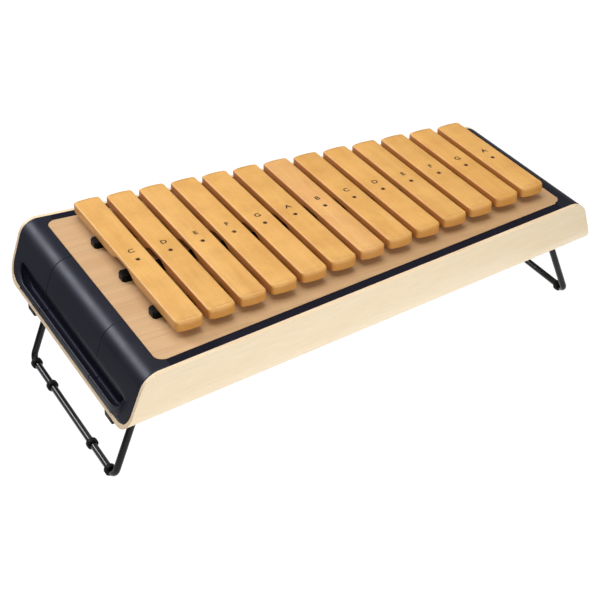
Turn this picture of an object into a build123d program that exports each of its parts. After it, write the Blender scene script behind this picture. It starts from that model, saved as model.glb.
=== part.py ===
from build123d import *
import os
from math import cos, radians, sin, tan

# Alto xylophone: thirteen wooden bars over a flat soundboard, in a bent plywood body
# with black moulded ends, standing on two folding rod legs.
# Frame: origin on the floor under the middle of the soundboard, +X towards the short
# bars, +Y away from the player, +Z up. Every size is in millimetres.

# ---- body: plan and height ----
RIM_Z = 195.0                # height of the soundboard and rim above the floor
TAPER = 0.1055               # how much each long side comes in per millimetre of length
BODY_HALF_WIDTH = 168.0      # half width inside the plywood, at the middle of the body
SIDE_LEAN = 0.097            # how much each long side comes in per millimetre downwards
WALL = 5.5                   # thickness of the bent plywood
BODY_DEPTH = 82.3            # rim down to the underside of the body
BEND_R = 32.0                # outer radius of the plywood's two lengthwise bends
HALF_REACH = 400.0           # beyond the body's ends, which are cut to the end profile
UNDERSIDE_Z = RIM_Z - BODY_DEPTH
FLOOR_Z = UNDERSIDE_Z + WALL     # inside of the body's bottom

# ---- end profile, seen from the front ----
END_FLAT_X = 332.7           # where the flat rim starts to turn down
END_ROUND_R = 29.5           # radius over which it turns down
END_LEAN = radians(20.4)     # from vertical to the slope of each end
SKIN = 3.0                   # wall of the moulded black parts
FIT_GAP = 0.6                # gap between the moulded parts and the plywood
SEAM = 0.6                   # hairline between two moulded parts
END_PIECE_X = 316.0          # where the end pieces meet the long rims
SEAM_Y = {-1: 86.0, 1: 52.0}     # middle piece to corner piece, at the left and right end

# ---- finger trough and lip at the foot of each end ----
TROUGH_TOP_Z = RIM_Z - 39.3
LIP_Z = RIM_Z - 67.0         # top of the lip
LIP_PROUD = 3.5              # how far the lip stands out of the end slope
LIP_THICK = 4.2
LIP_ROUND = 1.5
TROUGH_BASE = 2.6            # thickness of the trough's floor
TROUGH_MARGIN = 35.0         # from the trough's end to the inside of the plywood
TROUGH_CORNER_R = 27.0       # curl at each end of the lip

# ---- soundboard and the black rim round it ----
BOARD_LENGTH = 655.0
BOARD_HALF_WIDTH = 152.7     # half width at the middle of its length
BOARD_THICK = 4.0
BOARD_CORNER_R = 13.0
BOARD_GAP = 0.6              # dark line round the soundboard
LEDGE = 8.0                  # how far the rim reaches under the soundboard
LEDGE_THICK = 3.0
RIM_LEG = 22.0               # depth of the rim's leg along the plywood

# ---- bars ----
BARS = ["c1", "d1", "e1", "f1", "g1", "a1", "b1", "c2", "d2", "e2", "f2", "g2", "a2"]
BAR_WIDTH = 38.0
BAR_PITCH = 46.67
FIRST_BAR_X = -268.8
BAR_THICK = 14.2
BAR_BASE_Z = RIM_Z + 9.6
BAR_FRONT = (-158.3, -98.6)      # front end of the first and the last bar
BAR_BACK = (182.3, 122.3)        # back end of the first and the last bar
BAR_CORNER_R = 6.0
BAR_END_BOW = 3.0            # how far each end bulges
BAR_EDGE_R = 2.4
ARCH_DEPTH = (8.8, 2.6)      # hollow under the first and the last bar
ARCH_Y = 8.0                 # middle of the hollow
ARCH_HALF = 0.042            # half length of the hollow's top, as a share of the bar
ARCH_RAMP = 0.074            # length of the ramp at each side, as a share of the bar
HOLE_R = 3.0                 # hole through the middle of each bar
PIN_R = 1.5
PIN_HEAD_R = 1.9
PIN_HEAD_HEIGHT = 2.4
PIN_PROUD = 0.6              # pin head above the bar's top
PIN_DEPTH = 6.0              # pin inside the centre rail

# ---- rails under the bars ----
RAIL_X = (-283.5, 304.0)     # start and end of the rails, without their end blocks
FRONT_RAIL_Y = (-94.5, -58.0)    # at the start and the end
REAR_RAIL_Y = (94.5, 58.0)
CENTRE_Y = 0.5               # middle of the centre rail, and the line of the pins
OUTER_RAIL_WIDTH = 19.0
OUTER_RAIL_HEIGHT = 6.4
PAD_WIDTH = 11.0
PAD_THICK = 3.0
CENTRE_RAIL_WIDTH = 18.0
CENTRE_RAIL_HEIGHT = 9.0
END_BLOCK_LENGTH = 11.5
END_BLOCK_HEIGHT = 9.2
END_BLOCK_CHAMFER = 3.2

# ---- legs ----
ROD_R = 4.8
RING_R = 8.0
RING_LENGTH = 8.0
RING_ROUND = 1.8
RING_FLAT = 0.3              # worn flat on which each ring stands
CROSSBAR_X = 381.0
CROSSBAR_Z = RING_R - RING_FLAT
PIVOT_X = 342.5
PIVOT_Z = UNDERSIDE_Z - 8.8
LEG_HALF_WIDTH = {-1: 146.0, 1: 84.0}
LEG_BEND_R = 11.0
AXLE_LENGTH = 32.0           # bent-in end of the rod that turns in the bracket
RING_INSETS = {-1: (14.5, 74.5), 1: (14.5,)}    # rings, in from each end of the crossbar
AXLE_CLEARANCE = 0.06

# ---- brackets that hold the legs, screws, pads under the body ----
BRACKET_X = (308.0, 352.0)
BRACKET_OUT = 25.0           # from the leg's arm outwards
BRACKET_IN = 31.0            # from the leg's arm inwards
BRACKET_THICK = 3.0
SADDLE_Y = (14.0, 29.0)      # the axle's saddle, from the leg's arm inwards
SADDLE_WALL = 2.6
SCREW_R = 1.9
SCREW_HEAD_R = 3.6
SCREW_HEAD_HEIGHT = 1.6
SCREW_LENGTH = 11.0
BRACKET_SCREWS = ((314.5, 9.5), (346.5, 9.5), (314.5, -22.0))
PAD_SIZE = (7.0, 24.0, 6.4)
PAD_X = 381.2
PAD_Y = {-1: (-152.9, 114.6), 1: (-80.0, 62.0)}

# ---- hidden frame inside the body ----
BRACE_X = (-215.0, 0.0, 215.0)
BRACE_THICK = 12.0
BRACE_HOLE_R = 18.0
BRACE_HOLE_Z = FLOOR_Z + 36.0
CLEAT = 14.0                 # square strip between the body's bottom and the end pieces
CLEAT_SHARE = 0.68           # length of the strip as a share of the body's width
FRAME_SCREW_SHARES = (-0.8, 0.0, 0.8)

ENDS = {"left": -1, "right": 1}
BIG = 1000.0


def half_width(x, middle=BODY_HALF_WIDTH):
    """Half width at x of a tapered outline that is `middle` wide at x = 0."""
    return middle - TAPER * x


def between(first_last, share):
    first, last = first_last
    return first + (last - first) * share


def block(x, y, z):
    """Box from three (low, high) pairs."""
    size = [high - low for low, high in (x, y, z)]
    middle = [(high + low) / 2 for low, high in (x, y, z)]
    return Pos(*middle) * Box(*size)


def save(node, *solids):
    shape = solids[0] if len(solids) == 1 else Compound(children=list(solids))
    export_step(shape, f"parts/{node}.step")


# ---------------------------------------------------------------- body
def tub_section(x, inset):
    """The U of the body at x, filled up to the rim and `inset` inside the plywood."""
    half = half_width(x) + WALL - inset
    low = UNDERSIDE_Z + inset
    foot = half - SIDE_LEAN * (RIM_Z - low)
    outline = make_face(Polyline((-foot, low), (foot, low), (half, RIM_Z), (-half, RIM_Z), close=True))
    outline = fillet(outline.vertices().group_by(Axis.Y)[0], BEND_R - inset)
    return Plane.YZ.offset(x) * outline


def tub(inset):
    return loft([tub_section(-HALF_REACH, inset), tub_section(HALF_REACH, inset)], ruled=True)


def slope_x(z, inset=0.0):
    """Distance from the middle to the end's slope at height z."""
    radius = END_ROUND_R - inset
    top_x = END_FLAT_X + radius * cos(END_LEAN)
    top_z = RIM_Z - END_ROUND_R + radius * sin(END_LEAN)
    return top_x + (top_z - z) * tan(END_LEAN)


def end_prism(inset, low):
    """Everything inside the end profile of both ends, from height `low` up."""
    radius = END_ROUND_R - inset
    centre_z = RIM_Z - END_ROUND_R
    turn = (radians(90) + END_LEAN) / 2
    start = (END_FLAT_X, centre_z + radius)
    middle = (END_FLAT_X + radius * cos(turn), centre_z + radius * sin(turn))
    end = (END_FLAT_X + radius * cos(END_LEAN), centre_z + radius * sin(END_LEAN))
    foot = (slope_x(low, inset), low)
    outline = Polyline((0, low), (0, start[1]), start) + ThreePointArc(start, middle, end)
    half = make_face(outline + Polyline(end, foot, (0, low)))
    prism = extrude(Plane.XZ * half, amount=BIG, both=True)
    return prism + mirror(prism, Plane.YZ)


def body_shell():
    drilled = cut_screws(tub(0) - tub(WALL), frame_screws() + bracket_screws())
    return drilled & end_prism(0, UNDERSIDE_Z - 1)


# ---------------------------------------------------------------- soundboard and rim
def board_outline(grow):
    """Plan of the soundboard, grown outwards by `grow`."""
    end = BOARD_LENGTH / 2 + grow
    wide = half_width(-end, BOARD_HALF_WIDTH) + grow
    narrow = half_width(end, BOARD_HALF_WIDTH) + grow
    outline = make_face(Polyline((-end, -wide), (end, -narrow), (end, narrow), (-end, wide), close=True))
    return fillet(outline.vertices(), BOARD_CORNER_R + grow)


def soundboard():
    return Pos(0, 0, RIM_Z - BOARD_THICK) * extrude(board_outline(0), amount=BOARD_THICK)


def board_recess():
    """Space that the rim leaves for the soundboard and for the hollow below it."""
    seat_z = RIM_Z - BOARD_THICK
    recess = Pos(0, 0, seat_z) * extrude(board_outline(BOARD_GAP), amount=BOARD_THICK + 1)
    well = Pos(0, 0, seat_z - BIG) * extrude(board_outline(-LEDGE), amount=BIG + 1)
    return recess + well


def long_rim(side):
    """Black rim along one long side: border, ledge and a leg down the plywood."""
    span = (-END_PIECE_X + SEAM, END_PIECE_X - SEAM)
    across = (0, BIG) if side > 0 else (-BIG, 0)
    ledge_low = RIM_Z - BOARD_THICK - LEDGE_THICK
    inside = tub(WALL + FIT_GAP)
    border = inside & block(span, across, (ledge_low, RIM_Z))
    leg = (inside & block(span, across, (RIM_Z - RIM_LEG, ledge_low))) - tub(WALL + FIT_GAP + SKIN)
    return border + leg - board_recess()


# ---------------------------------------------------------------- moulded ends
def foot_section():
    """Foot of an end piece in the XZ plane: from the slope out to the lip and down."""
    lip_x = slope_x(LIP_Z) + LIP_PROUD
    back_x = slope_x(TROUGH_TOP_Z) - SKIN
    floor = FLOOR_Z + FIT_GAP
    return make_face(Polyline(
        (back_x, TROUGH_TOP_Z + SKIN),
        (slope_x(TROUGH_TOP_Z + SKIN), TROUGH_TOP_Z + SKIN),
        (slope_x(TROUGH_TOP_Z), TROUGH_TOP_Z),
        (lip_x - LIP_ROUND, LIP_Z + LIP_ROUND),
        (lip_x, LIP_Z - LIP_ROUND),
        (slope_x(floor) + LIP_PROUD / 2, floor),
        (back_x, floor), close=True))


def trough_half_length(side):
    return half_width(side * slope_x(LIP_Z)) - TROUGH_MARGIN


def trough_outline(side, low):
    """The trough seen from the end: open at the top, its lower corners rounded."""
    half = trough_half_length(side)
    high = TROUGH_TOP_Z + END_ROUND_R
    outline = make_face(Polyline((-half, low), (half, low), (half, high), (-half, high), close=True))
    return fillet(outline.vertices().group_by(Axis.Y)[0], TROUGH_CORNER_R)


def trough_cutter(side):
    """What the finger trough takes away, for an end that points along +X."""
    wall_x = slope_x(TROUGH_TOP_Z)
    lip_inner_x = slope_x(LIP_Z) + LIP_PROUD - LIP_THICK
    deep = trough_outline(side, FLOOR_Z + FIT_GAP + TROUGH_BASE)
    deep = Plane.YZ.offset(wall_x) * deep
    over = Plane.YZ.offset(wall_x) * trough_outline(side, LIP_Z)
    return extrude(deep, amount=lip_inner_x - wall_x) + extrude(over, amount=END_ROUND_R)


def end_cover(side):
    """All of one moulded end, before it is parted at its seams."""
    skin = end_prism(0, TROUGH_TOP_Z) - end_prism(SKIN, TROUGH_TOP_Z - 1)
    skin &= block((END_PIECE_X, HALF_REACH), (-BIG, BIG), (0, RIM_Z))
    ledge_low = RIM_Z - BOARD_THICK - LEDGE_THICK
    ledge = block((END_PIECE_X, END_FLAT_X), (-BIG, BIG), (ledge_low, RIM_Z))
    foot = extrude(Plane.XZ * foot_section(), amount=BIG, both=True)
    trough = trough_cutter(side)
    if side < 0:
        skin, ledge, foot, trough = (mirror(shape, Plane.YZ) for shape in (skin, ledge, foot, trough))
    inside = tub(WALL + FIT_GAP)
    cover = (inside & skin) + (inside & ledge) + (inside & foot)
    return cover - trough - board_recess()


def end_pieces(side):
    """Rear corner, middle and front corner of one moulded end."""
    cover = end_cover(side)
    seam = SEAM_Y[side]
    cuts = {"front_corner": (-BIG, -seam - SEAM), "middle": (-seam, seam), "rear_corner": (seam + SEAM, BIG)}
    return {name: cover & block((-BIG, BIG), cut, (-BIG, BIG)) for name, cut in cuts.items()}


# ---------------------------------------------------------------- hidden frame
def brace(x):
    """Upright board across the body that carries the soundboard."""
    along = (x - BRACE_THICK / 2, x + BRACE_THICK / 2)
    lower = tub(WALL) & block(along, (-BIG, BIG), (FLOOR_Z, RIM_Z - RIM_LEG - 1))
    top_half = half_width(along[1], BOARD_HALF_WIDTH) - LEDGE - 1
    upper = block(along, (-top_half, top_half), (RIM_Z - RIM_LEG - 1, RIM_Z - BOARD_THICK))
    board = lower + upper
    for y in (-half_width(x) / 2, half_width(x) / 2):
        board -= Pos(x, y, BRACE_HOLE_Z) * Rot(0, 90, 0) * Cylinder(BRACE_HOLE_R, BRACE_THICK + 2)
    return cut_screws(board, frame_screws())


def cleat(side):
    """Strip inside the foot of one end, screwed to the plywood."""
    outer_x = slope_x(TROUGH_TOP_Z) - SKIN - FIT_GAP
    half = half_width(side * outer_x) * CLEAT_SHARE
    strip = block((outer_x - CLEAT, outer_x), (-half, half), (FLOOR_Z, FLOOR_Z + CLEAT))
    if side < 0:
        strip = mirror(strip, Plane.YZ)
    return cut_screws(strip, frame_screws())


def cut_screws(shape, screws):
    for screw in screws:
        shape -= screw
    return shape


# ---------------------------------------------------------------- screws
def screw(x, y, seat_z):
    """Pan-head screw driven upwards, its head under seat_z."""
    head = Pos(x, y, seat_z - SCREW_HEAD_HEIGHT / 2) * Cylinder(SCREW_HEAD_R, SCREW_HEAD_HEIGHT)
    head = chamfer(head.edges().group_by(Axis.Z)[0], SCREW_HEAD_HEIGHT / 2)
    socket = Pos(x, y, seat_z - SCREW_HEAD_HEIGHT) * Box(SCREW_R, SCREW_R, SCREW_HEAD_HEIGHT)
    shank = Pos(x, y, seat_z + SCREW_LENGTH / 2) * Cylinder(SCREW_R, SCREW_LENGTH)
    return head + shank - socket


def frame_screws():
    """Screws from the underside into the braces and the end strips."""
    cleat_x = slope_x(TROUGH_TOP_Z) - SKIN - FIT_GAP - CLEAT / 2
    rows = [(x, half_width(x) * CLEAT_SHARE) for x in (-cleat_x, *BRACE_X, cleat_x)]
    return [screw(x, half * share, UNDERSIDE_Z) for x, half in rows for share in FRAME_SCREW_SHARES]


def bracket_screws():
    seat_z = UNDERSIDE_Z - BRACKET_THICK
    screws = []
    for end in ENDS.values():
        for arm in (-1, 1):
            for x, out in BRACKET_SCREWS:
                screws.append(screw(end * x, arm * (LEG_HALF_WIDTH[end] + out), seat_z))
    return screws


# ---------------------------------------------------------------- rails and bars
def sloping_strip(ends_y, width, height, base_z, span=RAIL_X):
    """Bar of rectangular section whose middle runs from ends_y[0] to ends_y[1]."""
    corners = [(x, y + width / 2 * way) for way in (-1, 1) for x, y in zip(span, ends_y)]
    outline = make_face(Polyline(corners[0], corners[1], corners[3], corners[2], close=True))
    return Pos(0, 0, base_z) * extrude(outline, amount=height)


def rail_end_block(x, y, way, width):
    """Moulded block on a rail's end with its outer corners cut off."""
    solid = Pos(x + way * END_BLOCK_LENGTH / 2, y, RIM_Z + END_BLOCK_HEIGHT / 2) * Box(
        END_BLOCK_LENGTH, width, END_BLOCK_HEIGHT)
    outer_face = solid.faces().sort_by(Axis.X)[-1 if way > 0 else 0]
    uprights = outer_face.edges().filter_by(Axis.Z)
    solid = chamfer(uprights, END_BLOCK_CHAMFER)
    return fillet(solid.edges().group_by(Axis.Z)[-1], 1.2)


def rail_end_blocks(way):
    x = RAIL_X[1] if way > 0 else RAIL_X[0]
    rails = [(FRONT_RAIL_Y, OUTER_RAIL_WIDTH), ((CENTRE_Y, CENTRE_Y), CENTRE_RAIL_WIDTH),
             (REAR_RAIL_Y, OUTER_RAIL_WIDTH)]
    return [rail_end_block(x, ends[way > 0], way, width) for ends, width in rails]


def bar_ends(index):
    share = index / (len(BARS) - 1)
    return between(BAR_FRONT, share), between(BAR_BACK, share)


def bar_plan(index):
    """Plan of a bar round its own middle line: straight sides and bowed ends."""
    front, back = bar_ends(index)
    half = BAR_WIDTH / 2
    low, high = front + BAR_END_BOW, back - BAR_END_BOW
    edges = Line((-half, high), (-half, low)) + ThreePointArc((-half, low), (0, front), (half, low))
    edges += Line((half, low), (half, high)) + ThreePointArc((half, high), (0, back), (-half, high))
    outline = make_face(edges)
    return fillet(outline.vertices(), BAR_CORNER_R)


def bar_side(index):
    """Side of a bar in the YZ plane: flat top, and a hollow with soft ramps below."""
    front, back = bar_ends(index)
    length = back - front
    depth = between(ARCH_DEPTH, index / (len(BARS) - 1))
    flat, ramp = length * ARCH_HALF, length * ARCH_RAMP
    top = BAR_BASE_Z + BAR_THICK
    a, b, c, d = (ARCH_Y + step for step in (-flat - ramp, -flat, flat, flat + ramp))
    hollow_z = BAR_BASE_Z + depth
    rise = Spline((a, BAR_BASE_Z), (b, hollow_z), tangents=((1, 0), (1, 0)))
    fall = Spline((c, hollow_z), (d, BAR_BASE_Z), tangents=((1, 0), (1, 0)))
    rest = Polyline((d, BAR_BASE_Z), (back + 1, BAR_BASE_Z), (back + 1, top), (front - 1, top),
                    (front - 1, BAR_BASE_Z), (a, BAR_BASE_Z))
    return make_face(rise + Line((b, hollow_z), (c, hollow_z)) + fall + rest)


def bar(index):
    x = FIRST_BAR_X + index * BAR_PITCH
    plank = Pos(0, 0, BAR_BASE_Z) * extrude(bar_plan(index), amount=BAR_THICK)
    plank = fillet(plank.faces().sort_by(Axis.Z)[-1].edges(), BAR_EDGE_R)
    plank &= extrude(Plane.YZ * bar_side(index), amount=BAR_WIDTH, both=True)
    hole = Pos(0, CENTRE_Y, BAR_BASE_Z + BAR_THICK / 2) * Cylinder(HOLE_R, BAR_THICK * 2)
    return Pos(x, 0, 0) * (plank - hole)


def bar_pin(index):
    """Pin that stands in the centre rail and guides one bar."""
    x = FIRST_BAR_X + index * BAR_PITCH
    low = RIM_Z + CENTRE_RAIL_HEIGHT - PIN_DEPTH
    high = BAR_BASE_Z + BAR_THICK + PIN_PROUD
    shank = Pos(x, CENTRE_Y, (low + high) / 2) * Cylinder(PIN_R, high - low)
    head = Pos(x, CENTRE_Y, high - PIN_HEAD_HEIGHT / 2) * Cylinder(PIN_HEAD_R, PIN_HEAD_HEIGHT)
    return shank + fillet(head.edges().group_by(Axis.Z)[-1], PIN_HEAD_HEIGHT / 3)


def centre_rail():
    rail = sloping_strip((CENTRE_Y, CENTRE_Y), CENTRE_RAIL_WIDTH, CENTRE_RAIL_HEIGHT, RIM_Z)
    return cut_screws(rail, [bar_pin(index) for index in range(len(BARS))])


# ---------------------------------------------------------------- legs
def leg_rod(side):
    """One rod bent into a U, its two tips bent inwards as axles."""
    half = LEG_HALF_WIDTH[side]
    near = [(side * PIVOT_X, AXLE_LENGTH - half, PIVOT_Z), (side * PIVOT_X, -half, PIVOT_Z),
            (side * CROSSBAR_X, -half, CROSSBAR_Z)]
    far = [(x, -y, z) for x, y, z in reversed(near)]
    path = FilletPolyline(*near, *far, radius=LEG_BEND_R)
    start = Plane(origin=near[0], z_dir=(0, -1, 0))
    return sweep(start * Circle(ROD_R), path=path)


def leg_rings(side):
    """Rubber rings on the crossbar, on which the instrument stands."""
    half = LEG_HALF_WIDTH[side]
    ring = fillet(Cylinder(RING_R, RING_LENGTH).edges(), RING_ROUND) - Cylinder(ROD_R, RING_LENGTH + 1)
    ring = Pos(0, 0, CROSSBAR_Z) * Rot(90, 0, 0) * ring & block((-BIG, BIG), (-BIG, BIG), (0, BIG))
    places = [way * (half - inset) for way in (-1, 1) for inset in RING_INSETS[side]]
    return [Pos(side * CROSSBAR_X, y, 0) * ring for y in places]


def leg_bracket(side, way):
    """Plate under the body with a saddle round one axle."""
    half = LEG_HALF_WIDTH[side]
    x_low, x_high = BRACKET_X
    plate = block((x_low, x_high), (half - BRACKET_IN, half + BRACKET_OUT),
                  (UNDERSIDE_Z - BRACKET_THICK, UNDERSIDE_Z))
    plate = fillet(plate.edges().filter_by(Axis.Z), 5)
    outer = ROD_R + SADDLE_WALL
    y_low, y_high = half - SADDLE_Y[1], half - SADDLE_Y[0]
    saddle = Pos(PIVOT_X, (y_low + y_high) / 2, PIVOT_Z) * Rot(90, 0, 0) * Cylinder(outer, y_high - y_low)
    saddle += block((PIVOT_X - outer, PIVOT_X + outer), (y_low, y_high), (PIVOT_Z, UNDERSIDE_Z))
    bore = Pos(PIVOT_X, half, PIVOT_Z) * Rot(90, 0, 0) * Cylinder(ROD_R + AXLE_CLEARANCE, BRACKET_IN * 2)
    bracket = plate + saddle - bore
    if way < 0:
        bracket = mirror(bracket, Plane.XZ)
    if side < 0:
        bracket = mirror(bracket, Plane.YZ)
    return cut_screws(bracket, bracket_screws())


def rubber_pads():
    length, width, thick = PAD_SIZE
    pad = fillet(Box(length, width, thick).edges().filter_by(Axis.Z), 2)
    return [Pos(end * PAD_X, y, UNDERSIDE_Z - thick / 2) * pad for end in ENDS.values() for y in PAD_Y[end]]


# ---------------------------------------------------------------- write every node
os.makedirs("parts", exist_ok=True)

save("body_shell", body_shell())
save("soundboard", soundboard())
save("rim_front", long_rim(-1))
save("rim_rear", long_rim(1))
for number, place in enumerate(BRACE_X, start=1):
    save(f"brace_{number}", brace(place))

for end_name, end in ENDS.items():
    for piece, solid in end_pieces(end).items():
        save(f"{end_name}_end_{piece}", solid)
    save(f"{end_name}_end_strip", cleat(end))
    save(f"{end_name}_leg", leg_rod(end))
    save(f"{end_name}_leg_rings", *leg_rings(end))
    save(f"{end_name}_rail_ends", *rail_end_blocks(end))
    for arm_name, arm in {"front": -1, "rear": 1}.items():
        save(f"{end_name}_{arm_name}_bracket", leg_bracket(end, arm))

for rail_name, rail_y in {"front": FRONT_RAIL_Y, "rear": REAR_RAIL_Y}.items():
    save(f"{rail_name}_rail", sloping_strip(rail_y, OUTER_RAIL_WIDTH, OUTER_RAIL_HEIGHT, RIM_Z))
    save(f"{rail_name}_rail_pad", sloping_strip(rail_y, PAD_WIDTH, PAD_THICK, RIM_Z + OUTER_RAIL_HEIGHT))
save("centre_rail", centre_rail())
save("bar_pins", *(bar_pin(index) for index in range(len(BARS))))
for index, name in enumerate(BARS):
    save(f"bar_{name}", bar(index))

save("frame_screws", *frame_screws())
save("bracket_screws", *bracket_screws())
save("rubber_pads", *rubber_pads())
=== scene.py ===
"""Looks of the alto xylophone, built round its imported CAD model. Metres, +Z up.

The bars, the moulded ends and the printed letters are made here. All other pieces are CAD nodes that get
materials, some of them with softer edges."""

import math

import bmesh
import bpy
from mathutils import Matrix, Vector
from mathutils.geometry import interpolate_bezier


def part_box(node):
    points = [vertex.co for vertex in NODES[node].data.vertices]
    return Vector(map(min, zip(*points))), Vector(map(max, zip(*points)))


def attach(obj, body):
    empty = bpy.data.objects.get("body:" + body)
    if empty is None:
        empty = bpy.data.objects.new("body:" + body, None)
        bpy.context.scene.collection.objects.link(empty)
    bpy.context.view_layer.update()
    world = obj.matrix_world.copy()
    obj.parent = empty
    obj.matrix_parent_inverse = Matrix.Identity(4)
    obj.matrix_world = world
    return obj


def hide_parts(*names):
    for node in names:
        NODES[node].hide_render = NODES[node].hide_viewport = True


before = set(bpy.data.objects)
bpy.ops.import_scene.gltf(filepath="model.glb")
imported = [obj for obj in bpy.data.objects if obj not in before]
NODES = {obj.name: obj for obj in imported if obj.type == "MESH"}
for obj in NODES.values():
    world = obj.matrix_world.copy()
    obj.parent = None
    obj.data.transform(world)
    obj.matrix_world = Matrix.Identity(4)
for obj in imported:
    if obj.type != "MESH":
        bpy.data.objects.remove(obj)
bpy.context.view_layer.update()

MM = 0.001

# ---- camera, floor and lights ----
CAMERA_PLACE = (-0.8622, -1.5056, 1.2366)
CAMERA_AZIMUTH, CAMERA_ELEVATION, CAMERA_ROLL = (math.radians(angle) for angle in (-28.95, 34.01, -0.27))
CAMERA_LENS = 87.97          # focal length in millimetres, on a film 36 mm wide
FILM_WIDTH = 36.0
PAPER_NEAR = (0.43, -0.75)   # the paper's end near the camera: half its width, place along the line of sight
PAPER_FAR = (0.82, 2.2)      # the same at its far end
FLOOR_GLOW = 1.05            # white that the camera sees, on the floor and in the world
FLOOR_REACH = 30.0
FLOOR_DROP = -0.5 * MM
WORLD_GLOW = 0.22            # the world's light on the instrument
WHITE = (1.0, 1.0, 1.0)
LIGHTS = [                   # name, place, target, size, power in watts, colour
    ("top_light", (-0.15, 0.2, 2.3), (0, 0, 0.2), (2.4, 1.6), 41.0, WHITE),
    ("front_light", (0.0, -2.6, 1.1), (0.05, 0, 0.15), (2.2, 1.0), 39.0, WHITE),
    ("end_light", (-1.3, 1.8, 1.5), (-0.35, 0, 0.15), (0.9, 0.6), 37.0, (0.86, 0.88, 1.0)),
]

NOTES = ["c1", "d1", "e1", "f1", "g1", "a1", "b1", "c2", "d2", "e2", "f2", "g2", "a2"]

# ---- the plywood body, and the softer edges of CAD nodes ----
RIM_Z = 195.0 * MM
UNDERSIDE_Z = 112.7 * MM
HALF_WIDTH = 173.5 * MM      # outside of the plywood, at the middle of the body's length
TAPER = 0.1055
SIDE_LEAN = 0.097
BEND_R = 32.0 * MM
PLY_PITCH = 2.2 * MM         # two layers
EDGE_R = 0.4 * MM            # rounding of the plywood's, the soundboard's and the rims' edges
PAD_R = 2.2 * MM
WELD = 0.00001               # points of one CAD node nearer than this are joined before its edges are rounded

# ---- moulded ends ----
ENDS = {"left": -1, "right": 1}
END_FLAT_X = 332.7 * MM      # where the top starts to round over into the slope
END_ROUND_R = 29.5 * MM
END_LEAN = math.radians(20.4)
END_PIECE_X = 316.0 * MM     # inner end of the moulded end, beside the rims
WALL = 5.5 * MM
FIT_GAP = 0.6 * MM
SEAM = 0.6 * MM
SEAM_SHADOW = 0.2 * MM       # how far each edge at a seam is rounded away
SEAM_Y = {"left": 86.0 * MM, "right": 52.0 * MM}
SKIN = 1.6 * MM
SKIN_EDGE_R = 0.25 * MM
TIGHT = 0.9 * MM             # last strip before a seam, which keeps the shading flat up to it
TROUGH_TOP_Z = RIM_Z - 39.3 * MM
TROUGH_FLOOR_Z = 121.4 * MM
TROUGH_MARGIN = 25.0 * MM
TROUGH_HANDLE = 0.42         # how far the slope's bend into the trough reaches, as a share of its drop
FOOT_Z = 118.8 * MM
WALL_X = 366.4 * MM          # the trough's inner wall, from the middle of the instrument
WALL_FOOT_R = 5.0 * MM
LIP_X = 381.4 * MM           # outside of the lip
LIP_Z = 128.4 * MM           # top of the lip
LIP_R = 2.2 * MM
LIP_HEEL_R = 2.6 * MM
LIP_FLARE = 1.3 * MM
EAR_RISE = 18.0 * MM         # how far the lip curls up at the trough's ends
EAR_DROP = 9.0 * MM          # how far the trough's upper edge comes down to meet it
EAR_LENGTH = 24.0 * MM
EAR_EDGE = 1.6 * MM          # height of each step by which the plain slope meets the closed trough
EAR_CLOSING = [              # distance past the trough's end, and the share of its depth that is left there
    (0.6 * MM, 0.92),
    (1.6 * MM, 0.6),
    (2.8 * MM, 0.2),
    (4.0 * MM, 0.0),
]
TROUGH_SHADE = 0.8 * MM      # depth below the slope from which the trough is matt
END_STEPS = {                # points of a moulded end
    "flat": 5, "round": 12, "slope": 4,                                   # down its profile to the trough
    "bend": 12, "wall_foot": 6, "heel": 5, "lip": 10, "outside": 5,       # through the trough to the foot
    "middle": 8, "corner": 6, "ear": 16, "closed": 8,                     # across it
}
BOARD_GAP = 0.6 * MM
BOARD_CORNER_R = 13.6 * MM
BOARD_CORNER_STEPS = 12
BOARD_CUT = 9.0 * MM         # half height of the cut for the soundboard

# ---- bars ----
BAR_CORNER_R = 6.5 * MM
BAR_BOW = 3.0 * MM
BAR_STEP = 4.0 * MM          # between the points along a bar's side
BOW_STEPS = 7                # from the middle of a bar's end to its corner
CORNER_STEPS = 6
BAR_SIDE_R = 2.4 * MM
BAR_END_R = 5.2 * MM
BAR_FOOT_R = 0.8 * MM
FOOT_TURN, EDGE_TURN = 45, 18    # degrees between the points of a bar's lower and upper rounding
ARCH_DEPTH = (8.8 * MM, 2.6 * MM)    # under the first and the last bar
ARCH_Y = 8.0 * MM            # middle of the hollow
ARCH_HALF = 0.042            # half length of the hollow's flat, as a share of the bar
ARCH_RAMP = 0.074            # length of the curve on each side of it
HOLE_R = 3.0 * MM
HOLE_SIDES = 32
HOLE_DEPTH = 20.0 * MM
SINK_R = 1.18 * HOLE_R       # countersink at the hole's mouth
SINK_DEPTH = 0.5 * MM
PIN_Y = 0.5 * MM
LETTER_SIZE = 12.5 * MM
LETTER_INK = 0.05 * MM       # thickness of the print
LETTER_WEIGHT = 0.26 * MM    # added to its strokes
LETTER_BEHIND = 22.0 * MM

# ---- edges sharper than this, in degrees, are shaded as edges ----
BAR_SHARP = 32
END_SHARP = 50
CUTTER_SHARP = 30


def srgb(red, green, blue):
    """Linear colour from 0-255 sRGB values."""
    def linear(channel):
        share = channel / 255
        return share / 12.92 if share <= 0.04045 else ((share + 0.055) / 1.055) ** 2.4
    return linear(red), linear(green), linear(blue)


def rgba(colour):
    """The opaque colour, as sockets take it."""
    return (*colour, 1.0)


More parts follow.
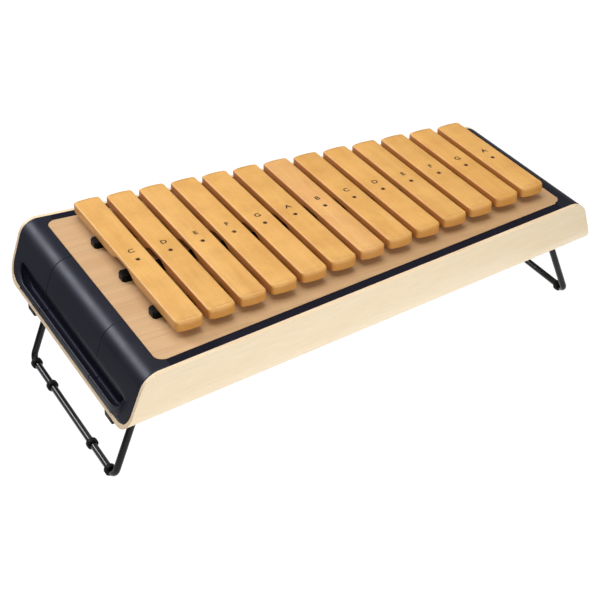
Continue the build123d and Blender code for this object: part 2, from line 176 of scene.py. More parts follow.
# ---- colours of the woods and the print ----
GRAIN_STRETCH = 0.045        # scale of the grain's noise along the wood, as a share of that across it
PLY_LIGHT, PLY_DARK = srgb(247, 229, 198), srgb(242, 222, 188)
PLY_GRAIN, PLY_STREAK = srgb(214, 180, 134), srgb(228, 198, 154)
PLY_EDGE_LIGHT, PLY_EDGE_DARK = srgb(238, 216, 182), srgb(222, 194, 154)
PLY_EDGE_GRAIN = srgb(178, 130, 84)
BOARD_LIGHT, BOARD_DARK = srgb(205, 168, 124), srgb(191, 151, 106)
FRAME_LIGHT, FRAME_DARK = srgb(226, 196, 150), srgb(208, 172, 122)
BAR_LIGHT, BAR_DARK = srgb(216, 165, 92), srgb(206, 151, 74)
BAR_GRAIN, BAR_PORE, BAR_CLOUD = srgb(176, 112, 44), srgb(150, 92, 34), srgb(240, 190, 108)
# The side colour on the next line is painted shade: the darkness of the gaps between the bars, laid on the
# bars' sides.
BAR_END, BAR_SIDE_SHADE = srgb(206, 138, 58), srgb(176, 100, 34)
FIRST_SIDE_SHADE_SHARE, SIDE_SHADE_SHARE = 0.15, 0.75    # share of the painted gap shade on the first bar's sides, which the light reaches, and on the other bars' sides
INK = srgb(34, 22, 14)

# ---- colours of the plastics, coatings and steels, already linear ----
MOULDING_DARK, MOULDING_LIGHT = (0.0074, 0.0080, 0.0150), (0.0096, 0.0102, 0.0192)
MOULDING_SHEEN, MATT_SHEEN = 0.21, 0.05
RAIL_BLACK = (0.0015, 0.0015, 0.002)
RUBBER_BLACK = ROD_BLACK = (0.002, 0.002, 0.002)
BRACKET_BLACK = (0.003, 0.003, 0.003)
PIN_DARK, PIN_LIGHT = (0.07, 0.05, 0.035), (0.13, 0.10, 0.075)
SCREW_DARK, SCREW_LIGHT = (0.16, 0.155, 0.15), (0.30, 0.29, 0.28)

# Each bar's own tint, as gains on red, green and blue. The seventh bar is the pinkish one.
BAR_TINTS = [
    (1.0, 1.0, 1.0), (0.98, 0.98, 0.96), (1.0, 1.0, 1.02), (0.99, 0.98, 0.97), (1.0, 0.99, 1.0),
    (0.98, 0.97, 0.95), (1.01, 0.99, 1.30), (0.99, 0.98, 0.98), (1.0, 0.97, 0.94), (0.98, 0.96, 0.94),
    (0.99, 0.98, 0.99), (1.0, 0.97, 0.92), (0.99, 0.97, 0.96),
]


# ---------------------------------------------------------------- node helpers
class Tree:
    """Short way to build one node material."""

    def __init__(self, name, **settings):
        self.material = bpy.data.materials.new(name)
        self.material.use_nodes = True
        self.nodes = self.material.node_tree.nodes
        self.links = self.material.node_tree.links
        self.shader = self.nodes["Principled BSDF"]
        for socket, value in settings.items():
            self.shader.inputs[socket.replace("_", " ")].default_value = value

    def add(self, kind, inputs=None, **settings):
        node = self.nodes.new("ShaderNode" + kind)
        for key, value in settings.items():
            setattr(node, key, value)
        for socket, value in (inputs or {}).items():
            self.feed(node, socket, value)
        return node

    def feed(self, node, socket, value):
        if isinstance(value, bpy.types.NodeSocket):
            self.links.new(value, node.inputs[socket])
        else:
            node.inputs[socket].default_value = value

    def place(self):
        return self.add("TexCoord").outputs["Object"]

    def scaled(self, vector, scale):
        return self.add("Mapping", {"Vector": vector, "Scale": scale}).outputs["Vector"]

    def noise(self, vector, scale, detail=4.0, roughness=0.55, distortion=0.0):
        made = self.add("TexNoise", {"Vector": vector, "Scale": scale, "Detail": detail,
                                     "Roughness": roughness, "Distortion": distortion})
        return made.outputs["Fac"]

    def math(self, operation, first, second=0.0, third=0.0):
        return self.add("Math", {0: first, 1: second, 2: third}, operation=operation).outputs[0]

    def absolute(self, value):
        return self.math("ABSOLUTE", value)

    def ramp(self, factor, stops):
        made = self.add("ValToRGB", {"Fac": factor})
        elements = made.color_ramp.elements
        while len(elements) < len(stops):
            elements.new(0.5)
        for element, (position, colour) in zip(elements, stops):
            element.position = position
            element.color = rgba(colour)
        return made.outputs["Color"]

    def span(self, value, low, high, out_low=0.0, out_high=1.0):
        made = self.add("MapRange", {"Value": value, "From Min": low, "From Max": high,
                                     "To Min": out_low, "To Max": out_high})
        return made.outputs["Result"]

    def mix(self, factor, under, over):
        """Colour `under` with a share `factor` of the plain colour or socket `over`."""
        made = self.add("Mix", data_type="RGBA")
        self.feed(made, 0, factor)
        self.feed(made, 6, under)
        self.feed(made, 7, rgba(over) if isinstance(over, tuple) else over)
        return made.outputs[2]

    def split(self, vector):
        """The vector's outputs "X", "Y" and "Z"."""
        return self.add("SeparateXYZ", {"Vector": vector}).outputs

    def facing(self):
        """Outputs of the surface's own direction."""
        return self.split(self.add("NewGeometry").outputs["Normal"])

    def bump(self, height, strength, distance):
        made = self.add("Bump", {"Height": height, "Strength": strength, "Distance": distance})
        return made.outputs["Normal"]

    def finish(self, colour=None, roughness=None, normal=None):
        for socket, value in (("Base Color", colour), ("Roughness", roughness), ("Normal", normal)):
            if value is not None:
                self.feed(self.shader, socket, value)
        return self.material


# ---------------------------------------------------------------- materials
def grain(tree, place, along, fine_scale, wide_scale):
    """(fine, wide) noise stretched along one axis of the wood."""
    stretch = [1.0, 1.0, 1.0]
    stretch[along] = GRAIN_STRETCH
    along_grain = tree.scaled(place, stretch)
    return tree.noise(along_grain, fine_scale, 6.0, 0.62), tree.noise(along_grain, wide_scale, 3.0, 0.5, 0.4)


def black_plastic(name, sheen):
    """Dark slate moulding with a fine spark-eroded texture and a soft sheen."""
    tree = Tree(name, Specular_IOR_Level=sheen)
    place = tree.place()
    fine = tree.noise(place, 2600.0, 2.0)
    broad = tree.noise(place, 18.0, 3.0)
    colour = tree.ramp(broad, [(0.3, MOULDING_DARK), (0.7, MOULDING_LIGHT)])
    roughness = tree.span(broad, 0.3, 0.7, 0.38, 0.44)
    return tree.finish(colour, roughness, tree.bump(fine, 0.10, 0.0001))


def plain_wood(name, light, dark, along, wide_scale, fine_scale):
    """Straight-grained lacquered wood; `along` is the axis (0, 1) that the grain follows."""
    tree = Tree(name)
    place = tree.place()
    fine, wide = grain(tree, place, along, fine_scale, wide_scale)
    cloud = tree.noise(place, 11.0, 3.0)
    colour = tree.ramp(wide, [(0.30, dark), (0.70, light)])
    pore = tuple(channel * 0.72 for channel in dark)
    colour = tree.mix(tree.span(fine, 0.36, 0.62, 0.35, 0.0), colour, pore)
    colour = tree.mix(tree.span(cloud, 0.35, 0.7, 0.25, 0.0), colour, dark)
    return tree.finish(colour, tree.span(fine, 0.3, 0.7, 0.52, 0.42), tree.bump(fine, 0.08, 0.0002))


def flecked(name, colour, roughness, sheen):
    """Nearly even dark surface with a fine bump and a slightly uneven sheen."""
    tree = Tree(name, Specular_IOR_Level=sheen)
    place = tree.place()
    fine = tree.noise(place, 1800.0, 2.0)
    broad = tree.noise(place, 40.0, 3.0)
    low, high = (tuple(channel * gain for channel in colour) for gain in (0.8, 1.2))
    shade = tree.ramp(broad, [(0.3, low), (0.7, high)])
    rough = tree.span(broad, 0.3, 0.7, roughness, roughness + 0.1)
    return tree.finish(shade, rough, tree.bump(fine, 0.08, 0.0001))


def steel(name, dark, light):
    """Metal whose tone varies finely from dark to light."""
    tree = Tree(name, Metallic=1.0)
    place = tree.place()
    fine = tree.noise(place, 900.0, 3.0)
    colour = tree.ramp(fine, [(0.3, dark), (0.7, light)])
    return tree.finish(colour, tree.span(fine, 0.3, 0.7, 0.3, 0.45), tree.bump(fine, 0.1, 0.0001))


def dress(names, material):
    """Gives CAD nodes one material."""
    for name in names:
        mesh = NODES[name].data
        mesh.materials.clear()
        mesh.materials.append(material)


def plywood():
    """Birch plywood: a quiet face veneer, and its layers on the cut edges."""
    tree = Tree("birch_plywood")
    place = tree.place()
    fine, wide = grain(tree, place, 0, 280.0, 26.0)
    streaks = tree.noise(tree.scaled(place, (0.7, 9.0, 9.0)), 5.0, 2.0)
    face = tree.ramp(wide, [(0.30, PLY_DARK), (0.70, PLY_LIGHT)])
    face = tree.mix(tree.span(fine, 0.35, 0.62, 0.14, 0.0), face, PLY_GRAIN)
    face = tree.mix(tree.span(streaks, 0.58, 0.74, 0.0, 0.22), face, PLY_STREAK)
    # The layers follow the section's outside, so they need the depth below it: straight sides, round bends.
    x, y, z = tree.split(place)
    side = tree.math("MULTIPLY_ADD", x, -TAPER, HALF_WIDTH - SIDE_LEAN * RIM_Z)
    side = tree.math("MULTIPLY_ADD", z, SIDE_LEAN, side)
    side = tree.math("SUBTRACT", side, tree.absolute(y))
    bottom = tree.math("SUBTRACT", z, UNDERSIDE_Z)
    from_side = tree.math("MAXIMUM", tree.math("SUBTRACT", BEND_R, side), 0.0)
    from_bottom = tree.math("MAXIMUM", tree.math("SUBTRACT", BEND_R, bottom), 0.0)
    reach = tree.math("SQRT", tree.math("ADD", tree.math("POWER", from_side, 2.0),
                                        tree.math("POWER", from_bottom, 2.0)))
    depth = tree.math("SUBTRACT", BEND_R, reach)
    layer = tree.math("SINE", tree.math("MULTIPLY", depth, 2 * math.pi / PLY_PITCH))
    edge = tree.ramp(tree.span(layer, -0.6, 0.6), [(0.2, PLY_EDGE_DARK), (0.8, PLY_EDGE_LIGHT)])
    edge = tree.mix(tree.span(fine, 0.3, 0.6, 0.25, 0.0), edge, PLY_EDGE_GRAIN)
    facing = tree.facing()
    cut = tree.math("MAXIMUM", tree.absolute(facing["X"]), facing["Z"])
    colour = tree.mix(tree.span(cut, 0.25, 0.35), face, edge)
    return tree.finish(colour, tree.span(fine, 0.3, 0.7, 0.56, 0.48), tree.bump(fine, 0.06, 0.0002))


def bar_wood(number, light, dark):
    """Orange-brown lacquered bar wood, each bar with its own piece of grain and its own tint, its sides
    darkened by painted shade.
    """
    tree = Tree(f"bar_wood_{number + 1}")
    place = tree.add("VectorMath", {0: tree.place(), 1: (number * 1.7, number * 0.9, 0.0)}).outputs[0]
    fine, wide = grain(tree, place, 1, 520.0, 70.0)
    cloud = tree.noise(place, 24.0, 4.0, 0.6)
    pores = tree.noise(tree.scaled(place, (1.0, 0.12, 1.0)), 1500.0, 2.0)
    colour = tree.ramp(wide, [(0.28, dark), (0.72, light)])
    colour = tree.mix(tree.span(fine, 0.36, 0.60, 0.20, 0.0), colour, BAR_GRAIN)
    colour = tree.mix(tree.span(cloud, 0.35, 0.70, 0.0, 0.35), colour, BAR_CLOUD)
    colour = tree.mix(tree.span(pores, 0.60, 0.72, 0.0, 0.25), colour, BAR_PORE)
    facing = tree.facing()
    colour = tree.mix(tree.span(tree.absolute(facing["Y"]), 0.35, 0.95, 0.0, 0.40), colour, BAR_END)
    # Painted shade on the sides facing along X: strong on the bars in the gaps, weak on the first bar, whose
    # outer side the light reaches.
    side_shade_share = SIDE_SHADE_SHARE if number else FIRST_SIDE_SHADE_SHARE
    colour = tree.mix(tree.span(tree.absolute(facing["X"]), 0.60, 0.98, 0.0, side_shade_share), colour, BAR_SIDE_SHADE)
    return tree.finish(colour, tree.span(fine, 0.3, 0.7, 0.50, 0.40), tree.bump(fine, 0.10, 0.0002))


# ---------------------------------------------------------------- bars
def half_outline(front, back, half):
    """(x, y, outward angle) from a bar's front tip along its +X side to its back tip."""
    bow_r = (half ** 2 + BAR_BOW ** 2) / (2 * BAR_BOW)
    reach = half - BAR_CORNER_R
    drop = math.sqrt((bow_r - BAR_CORNER_R) ** 2 - reach ** 2)
    meet = math.atan2(-drop, reach)
    start = -math.pi / 2
    tip = []
    for step in range(BOW_STEPS):
        angle = start + (meet - start) * step / BOW_STEPS
        tip.append((bow_r * math.cos(angle), bow_r + bow_r * math.sin(angle), angle))
    for step in range(CORNER_STEPS + 1):
        angle = meet * (1 - step / CORNER_STEPS)
        tip.append((reach + BAR_CORNER_R * math.cos(angle),
                    bow_r - drop + BAR_CORNER_R * math.sin(angle), angle))
    length = back - front
    straight = length - 2 * tip[-1][1]
    count = round(straight / BAR_STEP)
    side = [(half, tip[-1][1] + straight * step / count, 0.0) for step in range(1, count)]
    far = [(x, length - y, -angle) for x, y, angle in reversed(tip)]
    return [(x, front + y, angle) for x, y, angle in tip + side + far]


def hollow(y, front, back, depth):
    """Height of the bar's underside above its base at y."""
    off = abs(y - ARCH_Y) / (back - front)
    share = min(max((ARCH_HALF + ARCH_RAMP - off) / ARCH_RAMP, 0.0), 1.0)
    return depth * share * share * (3 - 2 * share)


def bar_column(x, y, angle, base, top):
    """Points up a bar's side at one place of its outline, from its underside to its top."""
    out = Vector((math.cos(angle), math.sin(angle), 0.0))
    edge_r = BAR_SIDE_R + (BAR_END_R - BAR_SIDE_R) * math.sin(angle) ** 2
    foot = Vector((x, y, base))
    head = Vector((x, y, top))
    column = []
    for turn in range(90, -1, -FOOT_TURN):
        sweep = math.radians(turn)
        column.append(foot - out * BAR_FOOT_R * (1 - math.cos(sweep))
                      + Vector((0, 0, BAR_FOOT_R * (1 - math.sin(sweep)))))
    for turn in range(0, 91, EDGE_TURN):
        sweep = math.radians(turn)
        column.append(head - out * edge_r * (1 - math.cos(sweep))
                      - Vector((0, 0, edge_r * (1 - math.sin(sweep)))))
    return column


def bar_mesh(name, depth):
    """One tone bar: crowned ends, soft edges, a hollow underside."""
    low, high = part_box(name)
    middle = (low[0] + high[0]) / 2
    front, back, base, top = low[1], high[1], low[2], high[2]
    right = half_outline(front, back, (high[0] - low[0]) / 2)
    left = [(-x, y, math.pi - angle) for x, y, angle in reversed(right[1:-1])]
    made = bmesh.new()
    columns = []
    for x, y, angle in right + left:
        points = bar_column(x, y, angle, base + hollow(y, front, back, depth), top)
        columns.append([made.verts.new(point + Vector((middle, 0, 0))) for point in points])
    for one, two in zip(columns, columns[1:] + columns[:1]):
        for level in range(len(one) - 1):
            made.faces.new((one[level], two[level], two[level + 1], one[level + 1]))
    # The underside and the top are strips from side to side, with a triangle at each tip.
    for level in (0, -1):
        for step in range(len(right) - 1):
            ring = [columns[step], columns[step + 1], columns[-step - 1], columns[-step]]
            corners = []
            for column in ring:
                if column[level] not in corners:
                    corners.append(column[level])
            made.faces.new(corners)
    bmesh.ops.recalc_face_normals(made, faces=made.faces)
    return as_object(made, name + "_shaped", BAR_SHARP)


def as_object(made, name, sharp):
    """Object made from a bmesh, smooth but for edges sharper than an angle."""
    mesh = bpy.data.meshes.new(name)
    made.to_mesh(mesh)
    made.free()
    mesh.shade_smooth()
    mesh.set_sharp_from_angle(angle=math.radians(sharp))
    piece = bpy.data.objects.new(name, mesh)
    bpy.context.scene.collection.objects.link(piece)
    return piece


def cut_out(piece, cutter):
    """Takes the cutter's solid out of a piece."""
    cut = piece.modifiers.new("cut", "BOOLEAN")
    cut.operation = "DIFFERENCE"
    cut.solver = "EXACT"
    cut.object = cutter


def round_edges(piece, width, segments, angle):
    """Bevels the edges sharper than an angle in degrees."""
    bevel = piece.modifiers.new("soft_edges", "BEVEL")
    bevel.width = width
    bevel.segments = segments
    bevel.limit_method = "ANGLE"
    bevel.angle_limit = math.radians(angle)
    return bevel


def bake(piece):
    """Applies every modifier of a piece."""
    graph = bpy.context.evaluated_depsgraph_get()
    mesh = bpy.data.meshes.new_from_object(piece.evaluated_get(graph))
    piece.modifiers.clear()
    piece.data = mesh


def drill(piece, place):
    """Cuts the pin's round hole down from `place`, with a small countersink at its mouth."""
    made = bmesh.new()
    rings = []
    for radius, z in ((SINK_R, MM), (SINK_R, 0.0), (HOLE_R, -SINK_DEPTH), (HOLE_R, -HOLE_DEPTH)):
        ring = []
        for step in range(HOLE_SIDES):
            turn = 2 * math.pi * step / HOLE_SIDES
            around = Vector((radius * math.cos(turn), radius * math.sin(turn), z))
            ring.append(made.verts.new(Vector(place) + around))
        rings.append(ring)
    for one, two in zip(rings, rings[1:]):
        for step in range(HOLE_SIDES):
            made.faces.new((one[step], one[step - 1], two[step - 1], two[step]))
    made.faces.new(rings[0])
    made.faces.new(rings[-1])
    bmesh.ops.recalc_face_normals(made, faces=made.faces)
    cutter = as_object(made, piece.name + "_drill", CUTTER_SHARP)
    cut_out(piece, cutter)
    bake(piece)
    bpy.data.objects.remove(cutter)


def printed_letter(name, text, place):
    """A note's plain letter, printed on the bar."""
    curve = bpy.data.curves.new(name, "FONT")
    curve.body = text
    curve.size = LETTER_SIZE
    curve.align_x, curve.align_y = "CENTER", "CENTER"
    curve.extrude = LETTER_INK
    curve.offset = LETTER_WEIGHT
    source = bpy.data.objects.new(name + "_curve", curve)
    bpy.context.scene.collection.objects.link(source)
    graph = bpy.context.evaluated_depsgraph_get()
    mesh = bpy.data.meshes.new_from_object(source.evaluated_get(graph))
    bpy.data.objects.remove(source)
    mesh.transform(Matrix.Translation(place))
    letter = bpy.data.objects.new(name, mesh)
    bpy.context.scene.collection.objects.link(letter)
    return letter


def make_bars():
    """Each bar with its hollow, hole, wood and letter, on its own body."""
    ink = flecked("ink", INK, 0.7, 0.25)
    for number, (note, tint) in enumerate(zip(NOTES, BAR_TINTS)):
        node = f"bar_{note}"
        depth = ARCH_DEPTH[0] + (ARCH_DEPTH[1] - ARCH_DEPTH[0]) * number / (len(NOTES) - 1)
        low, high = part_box(node)
        middle, top = (low[0] + high[0]) / 2, high[2]
        bar = bar_mesh(node, depth)
        drill(bar, (middle, PIN_Y, top))
        light, dark = (tuple(channel * gain for channel, gain in zip(colour, tint))
                       for colour in (BAR_LIGHT, BAR_DARK))
        bar.data.materials.clear()
        bar.data.materials.append(bar_wood(number, light, dark))
        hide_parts(node)
        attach(bar, f"tone_bar_{note}")
        letter = printed_letter(f"letter_{note}", note[0].upper(), (middle, PIN_Y + LETTER_BEHIND, top))
        letter.data.materials.append(ink)
        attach(letter, f"tone_bar_{note}")


# ---------------------------------------------------------------- moulded ends
def arc(centre, radius, start, end, count):
    """Points of an arc in the end profile, without its first one."""
    turns = (math.radians(start + (end - start) * step / count) for step in range(1, count + 1))
    return [(centre[0] + radius * math.cos(turn), centre[1] + radius * math.sin(turn)) for turn in turns]


def run(first, last, count):
    """Points from `first` to `last` in equal steps, without the first one."""
    return [tuple(a + (b - a) * step / count for a, b in zip(first, last)) for step in range(1, count + 1)]


def on_slope(z):
    """Point of the end's plain slope at height z: distance from the middle, height."""
    top = END_ROUND_R * (1 - math.sin(END_LEAN))
    return (END_FLAT_X + END_ROUND_R * math.cos(END_LEAN) + (RIM_Z - top - z) * math.tan(END_LEAN), z)


def shoulder(drop=0.0):
    """Profile from the soundboard out over the rounding and down the slope to the trough."""
    centre = (END_FLAT_X, RIM_Z - END_ROUND_R)
    points = [(END_PIECE_X, RIM_Z)]
    points += run(points[0], (END_FLAT_X, RIM_Z), END_STEPS["flat"])
    points += arc(centre, END_ROUND_R, 90, math.degrees(END_LEAN), END_STEPS["round"])
    return points + run(points[-1], on_slope(TROUGH_TOP_Z - drop), END_STEPS["slope"])


def trough(lift=0.0, drop=0.0):
    """Profile from the slope into the finger trough, over its lip and down to the plywood.

    At the trough's ends its floor and lip are raised by `lift` and its upper edge comes down by `drop`."""
    start = on_slope(TROUGH_TOP_Z - drop)
    back = lift * math.tan(END_LEAN)
    foot = (WALL_X - back, TROUGH_FLOOR_Z + WALL_FOOT_R + lift)
    handle = TROUGH_HANDLE * (start[1] - foot[1])
    down = (start[0] + handle * math.sin(END_LEAN), start[1] - handle * math.cos(END_LEAN))
    up = (foot[0], foot[1] + handle)
    bend = interpolate_bezier(Vector(start), Vector(down), Vector(up), Vector(foot), END_STEPS["bend"])
    points = [tuple(point) for point in bend][1:]
    points += arc((foot[0] + WALL_FOOT_R, foot[1]), WALL_FOOT_R, 180, 270, END_STEPS["wall_foot"])
    inner_x = LIP_X - back - 2 * LIP_R
    heel = (inner_x - LIP_HEEL_R, TROUGH_FLOOR_Z + LIP_HEEL_R + lift)
    points += arc(heel, LIP_HEEL_R, 270, 360, END_STEPS["heel"])
    points += arc((LIP_X - back - LIP_R, LIP_Z - LIP_R + lift), LIP_R, 180, 0, END_STEPS["lip"])
    return points + run(points[-1], (LIP_X + LIP_FLARE, FOOT_Z), END_STEPS["outside"])


def plain(count):
    """The plain slope in `count` points, which stand for the trough's points past its closed ends."""
    top, middle, low = (on_slope(TROUGH_TOP_Z - EAR_DROP - EAR_EDGE * step) for step in range(3))
    lip, outside = END_STEPS["lip"], END_STEPS["outside"]
    points = run(top, middle, count - lip - outside) + run(middle, low, lip)
    return points + run(low, on_slope(FOOT_Z), outside)


def inside_y(end, reach, z):
    """Half width inside the plywood, at a distance along one end and a height."""
    half = HALF_WIDTH - WALL - FIT_GAP - TAPER * end * reach - SIDE_LEAN * (RIM_Z - z)
    bend_r = BEND_R - WALL - FIT_GAP
    below = FOOT_Z + bend_r - z
    if below > 0:
        foot_half = half + SIDE_LEAN * below
        half = min(half, foot_half - bend_r + math.sqrt(max(bend_r ** 2 - below ** 2, 0.0)))
    return half


def corner_columns(half):
    """(share of the way out, depth of the trough, curl of its end) across a corner, from its seam out."""
    start = half["pocket"] - EAR_LENGTH
    first = half["seam"] + TIGHT
    columns = [(half["seam"], 1.0, 0.0), (first, 1.0, 0.0)]
    columns += [(y, 1.0, 0.0) for (y,) in run((first,), (start,), END_STEPS["corner"])]
    for step in range(1, END_STEPS["ear"] + 1):
        turn = math.pi / 2 * step / END_STEPS["ear"]
        columns.append((start + EAR_LENGTH * math.sin(turn), 1.0, 1 - math.cos(turn)))
    columns += [(half["pocket"] + beyond, depth, 1.0) for beyond, depth in EAR_CLOSING]
    closed = columns[-1][0]
    columns += [(y, 0.0, 1.0) for (y,) in run((closed,), (half["edge"],), END_STEPS["closed"])]
    return [((y - half["seam"]) / (half["edge"] - half["seam"]), depth, curl) for y, depth, curl in columns]


def grid_piece(name, rows):
    """Sheet through rows of points, facing outwards."""
    made = bmesh.new()
    grid = [[made.verts.new(point) for point in row] for row in rows]
    for one, two in zip(grid, grid[1:]):
        for step in range(len(one) - 1):
            made.faces.new((one[step], one[step + 1], two[step + 1], two[step]))
    bmesh.ops.recalc_face_normals(made, faces=made.faces)
    if sum(face.normal.z for face in made.faces) < 0:
        bmesh.ops.reverse_faces(made, faces=made.faces)
    return as_object(made, name, END_SHARP)


def board_cutter():
    """Solid a little larger than the soundboard, to cut its place out of the moulded ends."""
    half_length, half_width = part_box("soundboard")[1][:2]
    end = half_length + BOARD_GAP
    wide, narrow = half_width + BOARD_GAP, half_width - 2 * TAPER * half_length + BOARD_GAP
    made = bmesh.new()
    outline = []
    early = 90 / BOARD_CORNER_STEPS    # one step, as arc() leaves out its first point
    for x, y, quarter in ((end, narrow, 0), (-end, wide, 1), (-end, -wide, 2), (end, -narrow, 3)):
        centre = (x - math.copysign(BOARD_CORNER_R, x), y - math.copysign(BOARD_CORNER_R, y))
        start = 90 * quarter
        outline += arc(centre, BOARD_CORNER_R, start - early, start + 90, BOARD_CORNER_STEPS + 1)
    rings = [[made.verts.new((x, y, RIM_Z + rise)) for x, y in outline] for rise in (-BOARD_CUT, BOARD_CUT)]
    for step in range(len(outline)):
        made.faces.new((rings[0][step], rings[0][step - 1], rings[1][step - 1], rings[1][step]))
    for ring in rings:
        made.faces.new(ring)
    bmesh.ops.recalc_face_normals(made, faces=made.faces)
    return as_object(made, "board_cutter", CUTTER_SHARP)


def in_trough(centre):
    """Whether a face lies inside the finger trough, below its upper edge and behind its lip."""
    return centre.z < TROUGH_TOP_Z and on_slope(centre.z)[0] - abs(centre.x) > TROUGH_SHADE


def finish_end_piece(piece, node, cutter, material, matt):
    """Thickens a sheet of a moulded end, cuts the soundboard's place out and puts it on for its CAD node."""
    thick = piece.modifiers.new("thickness", "SOLIDIFY")
    thick.thickness = SKIN
    thick.offset = -1.0
    cut_out(piece, cutter)
    round_edges(piece, SKIN_EDGE_R, segments=2, angle=60)
    bake(piece)
    piece.data.shade_smooth()
    piece.data.set_sharp_from_angle(angle=math.radians(END_SHARP))
    piece.data.materials.clear()
    piece.data.materials.append(material)
    piece.data.materials.append(matt)
    for face in piece.data.polygons:
        face.material_index = 1 if in_trough(face.center) else 0
    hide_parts(node)
    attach(piece, "root")


def make_ends(material, matt):
    """Each moulded end as its middle piece and two corners, with the finger trough running through them."""
    cutter = board_cutter()
    pocket, top = trough(), shoulder()
    flat = plain(len(pocket))
    for name, end in ENDS.items():
        seam = SEAM_Y[name]
        edge = inside_y(end, LIP_X, LIP_Z)
        half = {"seam": seam + SEAM + SEAM_SHADOW, "pocket": edge + FIT_GAP - TROUGH_MARGIN, "edge": edge}
        outer = seam - SEAM_SHADOW
        inner = outer - TIGHT
        places = [-outer, -inner] + [y for (y,) in run((-inner,), (inner,), END_STEPS["middle"])] + [outer]
        middle = [[(end * x, y, z) for x, z in top + pocket] for y in places]
        finish_end_piece(grid_piece(f"{name}_cover_middle", middle), f"{name}_end_middle", cutter,
                         material, matt)
        for corner, way in (("front", -1), ("rear", 1)):
            rows = []
            for share, depth, curl in corner_columns(half):
                blend = [(fx + (px - fx) * depth, fz + (pz - fz) * depth)
                         for (fx, fz), (px, pz) in zip(flat, trough(EAR_RISE * curl, EAR_DROP * curl))]
                rows.append([(end * x, way * (half["seam"] + share * (inside_y(end, x, z) - half["seam"])), z)
                             for x, z in shoulder(EAR_DROP * curl) + blend])
            finish_end_piece(grid_piece(f"{name}_cover_{corner}", rows), f"{name}_end_{corner}_corner",
                             cutter, material, matt)
    bpy.data.objects.remove(cutter)


# ---------------------------------------------------------------- the CAD nodes' looks
def soften(names, width):
    """Rounds the sharp edges of CAD nodes a little, as a moulding or sanded wood has them."""
    for name in names:
        weld = NODES[name].modifiers.new("weld", "WELD")
        weld.merge_threshold = WELD
        round_edges(NODES[name], width, segments=3, angle=40).harden_normals = True


def named(*parts):
    """CAD nodes with any of these in their names."""
    return [name for name in sorted(NODES) if any(part in name for part in parts)]


def dress_nodes(matt):
    """Gives the CAD nodes that stay visible their materials."""
    dress(["body_shell"], plywood())
    dress(["soundboard"], plain_wood("soundboard_wood", BOARD_LIGHT, BOARD_DARK, 0, 34.0, 330.0))
    dress(named("brace", "end_strip"), plain_wood("frame_wood", FRAME_LIGHT, FRAME_DARK, 1, 30.0, 300.0))
    dress(named("rim_"), matt)
    dress(named("rail"), flecked("rail_plastic", RAIL_BLACK, roughness=0.42, sheen=0.10))
    dress(["left_leg", "right_leg"], flecked("powder_coat", ROD_BLACK, roughness=0.20, sheen=0.28))
    dress(named("_bracket"), flecked("bracket_coat", BRACKET_BLACK, roughness=0.40, sheen=0.20))
    dress(named("rings", "rubber"), flecked("rubber_black", RUBBER_BLACK, roughness=0.50, sheen=0.14))
    dress(["bar_pins"], steel("pin_steel", PIN_DARK, PIN_LIGHT))
    dress(named("screws"), steel("dark_steel", SCREW_DARK, SCREW_LIGHT))


# ---------------------------------------------------------------- stage, lights, camera
def paper(name, corners):
    """Glowing white sheet that shows only from above, so that the underside can be looked at."""
    mesh = bpy.data.meshes.new(name)
    mesh.from_pydata(corners, [], [(0, 1, 2, 3)])
    tree = Tree(name + "_white", Emission_Color=rgba(WHITE), Emission_Strength=FLOOR_GLOW)
    material = tree.finish(colour=(0.0, 0.0, 0.0, 1.0), roughness=1.0)
    clear = tree.add("BsdfTransparent")
    below = tree.add("NewGeometry").outputs["Backfacing"]
    shown = tree.add("MixShader", {0: below, 1: tree.shader.outputs["BSDF"], 2: clear.outputs["BSDF"]})
    tree.links.new(shown.outputs["Shader"], tree.nodes["Material Output"].inputs["Surface"])
    mesh.materials.append(material)
    made = bpy.data.objects.new(name, mesh)
    bpy.context.scene.collection.objects.link(made)
    return made


def floor():
    """White paper along the line of sight, and a wide floor round it that only the camera sees."""
    turn = Matrix.Rotation(CAMERA_AZIMUTH, 3, "Z")
    corners = ((PAPER_NEAR, -1), (PAPER_NEAR, 1), (PAPER_FAR, 1), (PAPER_FAR, -1))
    paper("floor", [turn @ Vector((way * half, along, 0)) for (half, along), way in corners])
    wide = paper("wide_floor", [(x * FLOOR_REACH, y * FLOOR_REACH, FLOOR_DROP)
                                for x, y in ((-1, -1), (1, -1), (1, 1), (-1, 1))])
    wide.visible_diffuse = False
    wide.visible_glossy = False


def softbox(name, place, target, size, power, colour):
    """Rectangular light that the camera doesn't see."""
    light = bpy.data.lights.new(name, "AREA")
    light.shape = "RECTANGLE"
    light.size, light.size_y = size
    light.energy = power
    light.color = colour
    made = bpy.data.objects.new(name, light)
    made.location = place
    made.visible_camera = False
    made.rotation_mode = "QUATERNION"
    made.rotation_quaternion = (Vector(target) - Vector(place)).to_track_quat("-Z", "Y")
    bpy.context.scene.collection.objects.link(made)


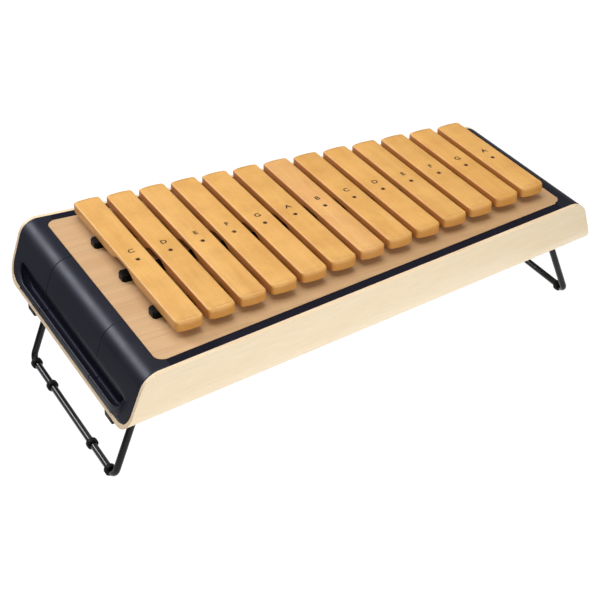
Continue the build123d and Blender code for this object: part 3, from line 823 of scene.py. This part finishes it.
def studio():
    """Soft even light from the world, which the camera sees as plain white, and three softboxes."""
    world = bpy.data.worlds.new("studio")
    bpy.context.scene.world = world
    world.use_nodes = True
    nodes, links = world.node_tree.nodes, world.node_tree.links
    seen, around = nodes.new("ShaderNodeBackground"), nodes["Background"]
    for background, glow in ((around, WORLD_GLOW), (seen, FLOOR_GLOW)):
        background.inputs["Color"].default_value = rgba(WHITE)
        background.inputs["Strength"].default_value = glow
    mixed = nodes.new("ShaderNodeMixShader")
    links.new(nodes.new("ShaderNodeLightPath").outputs["Is Camera Ray"], mixed.inputs[0])
    links.new(around.outputs["Background"], mixed.inputs[1])
    links.new(seen.outputs["Background"], mixed.inputs[2])
    links.new(mixed.outputs["Shader"], nodes["World Output"].inputs["Surface"])
    for light in LIGHTS:
        softbox(*light)
    bpy.context.scene.view_settings.view_transform = "Standard"


def camera():
    """Camera that sees the instrument from its front left, a little above."""
    level = math.cos(CAMERA_ELEVATION)
    back = Vector((math.sin(CAMERA_AZIMUTH) * level, -math.cos(CAMERA_AZIMUTH) * level,
                   math.sin(CAMERA_ELEVATION)))
    right = Vector((0, 0, 1)).cross(back).normalized()
    up = back.cross(right)
    rolled_right = math.cos(CAMERA_ROLL) * right + math.sin(CAMERA_ROLL) * up
    rolled_up = math.cos(CAMERA_ROLL) * up - math.sin(CAMERA_ROLL) * right
    data = bpy.data.cameras.new("camera")
    data.lens = CAMERA_LENS
    data.sensor_width = FILM_WIDTH
    made = bpy.data.objects.new("camera", data)
    turn = Matrix((rolled_right, rolled_up, back)).transposed().to_4x4()
    made.matrix_world = Matrix.Translation(CAMERA_PLACE) @ turn
    bpy.context.scene.collection.objects.link(made)
    bpy.context.scene.camera = made


matt_plastic = black_plastic("matt_moulding", MATT_SHEEN)
dress_nodes(matt_plastic)
make_ends(black_plastic("black_moulding", MOULDING_SHEEN), matt_plastic)
soften(["body_shell", "soundboard"] + named("rim_"), EDGE_R)
soften(["rubber_pads"], PAD_R)
make_bars()
floor()
studio()
camera()
